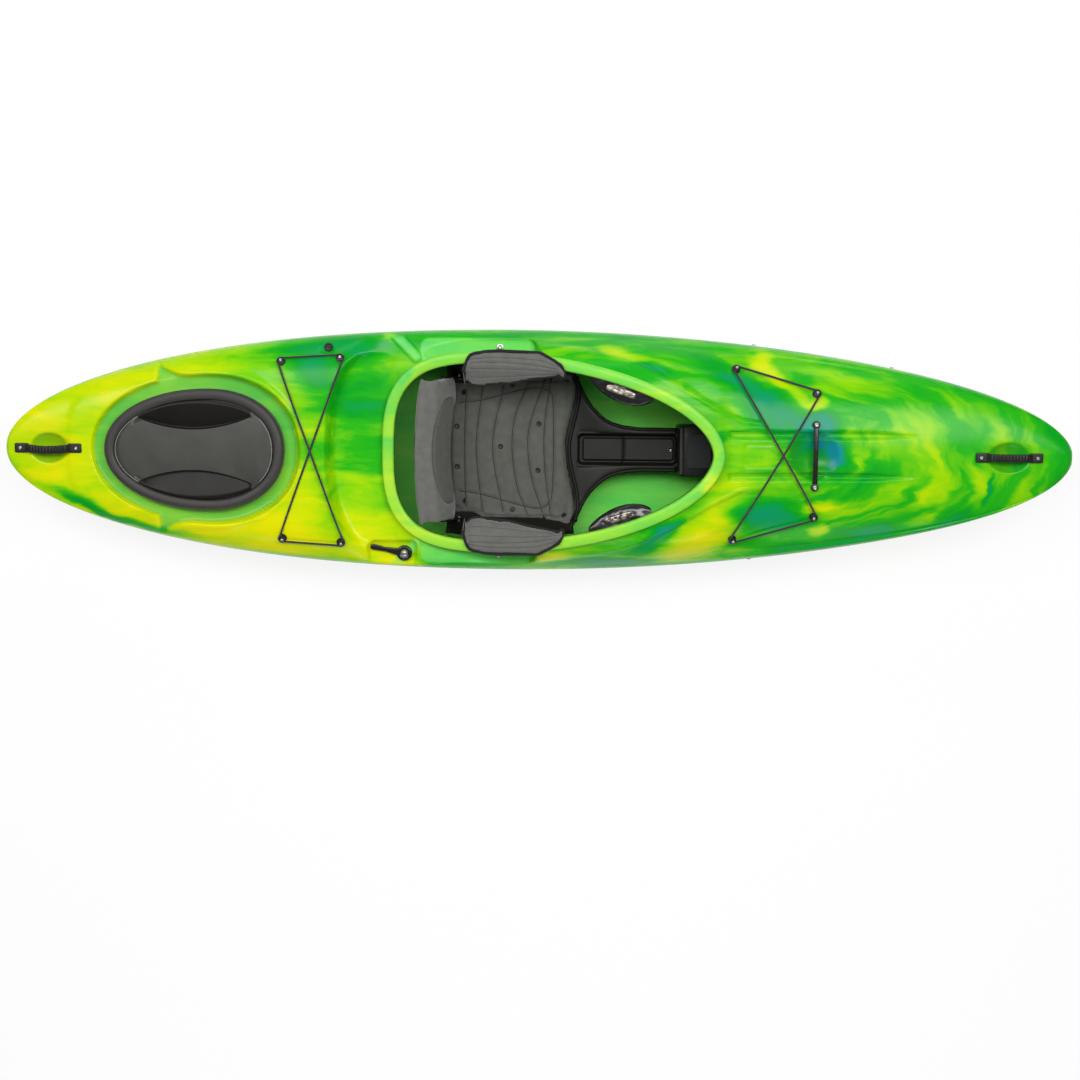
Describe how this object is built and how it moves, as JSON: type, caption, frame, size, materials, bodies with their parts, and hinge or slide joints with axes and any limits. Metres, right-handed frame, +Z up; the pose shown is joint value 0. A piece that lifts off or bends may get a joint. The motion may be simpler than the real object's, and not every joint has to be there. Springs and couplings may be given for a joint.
{
  "type": "crossover kayak",
  "caption": "Short wide sit-inside crossover kayak with an oval cockpit, stern hatch, drop skeg with deck lever, deck bungees, grab handles and padded outfitting.",
  "frame": {"origin": "middle of the footprint, on the ground under the flat of the keel", "axes": "+X towards the bow, +Y to port, +Z up"},
  "size_m": [3.0476, 0.698, 0.3925],
  "materials": {
    "green_pe": "marbled rotomoulded polyethylene",
    "grey_rubber": "matt moulded",
    "grey_pe": "fine satin",
    "black_plastic": "fine moulded grain",
    "black_cord": "woven cover on shock cord and cable housing",
    "steel": "plain stainless",
    "black_foam": "closed-cell foam",
    "grey_fabric": "woven padded fabric",
    "skeg_plastic": "satin"
  },
  "bodies": {
    "boat": {"hull": "green_pe", "stern_bulkhead": "black_foam", "bow_pillar": "black_foam", "seat_shell": "black_plastic", "centre_beam": "black_plastic", "seat_pad": "grey_fabric", "backrest_bolt_left": "steel", "backrest_bolt_right": "steel", "hip_pad_left": "grey_fabric", "thigh_brace_left": "black_plastic", "foot_rail_left": "black_plastic", "rail_screw_left_1": "steel", "rail_screw_left_2": "steel", "hip_pad_right": "grey_fabric", "thigh_brace_right": "black_plastic", "foot_rail_right": "black_plastic", "rail_screw_right_1": "steel", "rail_screw_right_2": "steel", "skeg_box": "black_plastic", "skeg_cable": "black_cord", "lever_bolt": "steel", "stern_handle": "black_plastic", "stern_handle_bolt_1": "steel", "stern_handle_bolt_2": "steel", "bow_handle": "black_plastic", "bow_handle_bolt_1": "steel", "bow_handle_bolt_2": "steel", "stern_post_1": "black_plastic", "stern_post_screw_1": "steel", "stern_post_2": "black_plastic", "stern_post_screw_2": "steel", "stern_post_3": "black_plastic", "stern_post_screw_3": "steel", "stern_post_4": "black_plastic", "stern_post_screw_4": "steel", "bow_post_1": "black_plastic", "bow_post_screw_1": "steel", "bow_post_2": "black_plastic", "bow_post_screw_2": "steel", "bow_post_3": "black_plastic", "bow_post_screw_3": "steel", "bow_post_4": "black_plastic", "bow_post_screw_4": "steel", "stern_bungee": "black_cord", "bow_bungee": "black_cord", "security_bar": "black_plastic", "bar_bolt_left": "steel", "bar_bolt_right": "steel", "hip_screw_left": "steel", "hip_screw_right": "steel"},
    "skeg": {"skeg_blade": "skeg_plastic"},
    "lever": {"skeg_lever": "black_plastic"},
    "hatch_lid": {"hatch_seal": "grey_rubber", "hatch_panel": "grey_pe"},
    "left_pedal": {"foot_pedal_left": "black_plastic"},
    "right_pedal": {"foot_pedal_right": "black_plastic"},
    "backrest": {"backrest_shell": "black_plastic", "backband_pad": "grey_fabric"},
    "drain": {"drain_plug": "grey_rubber"},
    "knob": {"lifter_knob": "black_plastic"}
  },
  "joints": [
    {"name": "skeg_swing", "type": "hinge", "parent": "boat", "child": "skeg", "pos_m": [-0.965, 0, 0.068], "axis": [0, 1, 0], "range_deg": [0, 18]},
    {"name": "lever_turn", "type": "hinge", "parent": "boat", "child": "lever", "pos_m": [-0.385, -0.29749, 0.243], "axis": [0, 0, 1], "range_deg": [0, 90]},
    {"name": "hatch_lift", "type": "slide", "parent": "boat", "child": "hatch_lid", "axis": [0, 0, 1], "range_m": [0, 0.06]},
    {"name": "left_pedal_slide", "type": "slide", "parent": "boat", "child": "left_pedal", "axis": [0.9882, -0.1534, 0], "range_m": [-0.12, 0.12]},
    {"name": "right_pedal_slide", "type": "slide", "parent": "boat", "child": "right_pedal", "axis": [0.9882, 0.1534, 0], "range_m": [-0.12, 0.12]},
    {"name": "back_tilt", "type": "hinge", "parent": "boat", "child": "backrest", "pos_m": [-0.235, 0, 0.106], "axis": [0, 1, 0], "range_deg": [0, 12]},
    {"name": "drain_pull", "type": "slide", "parent": "boat", "child": "drain", "axis": [0, 0, 1], "range_m": [0, 0.03]},
    {"name": "knob_turn", "type": "hinge", "parent": "boat", "child": "knob", "pos_m": [0.392, 0, 0.085], "axis": [0, 0, 1], "continuous": true}
  ],
  "couplings": [
    {"joint": "lever_turn", "follows": "skeg_swing", "ratio": 5}
  ]
}
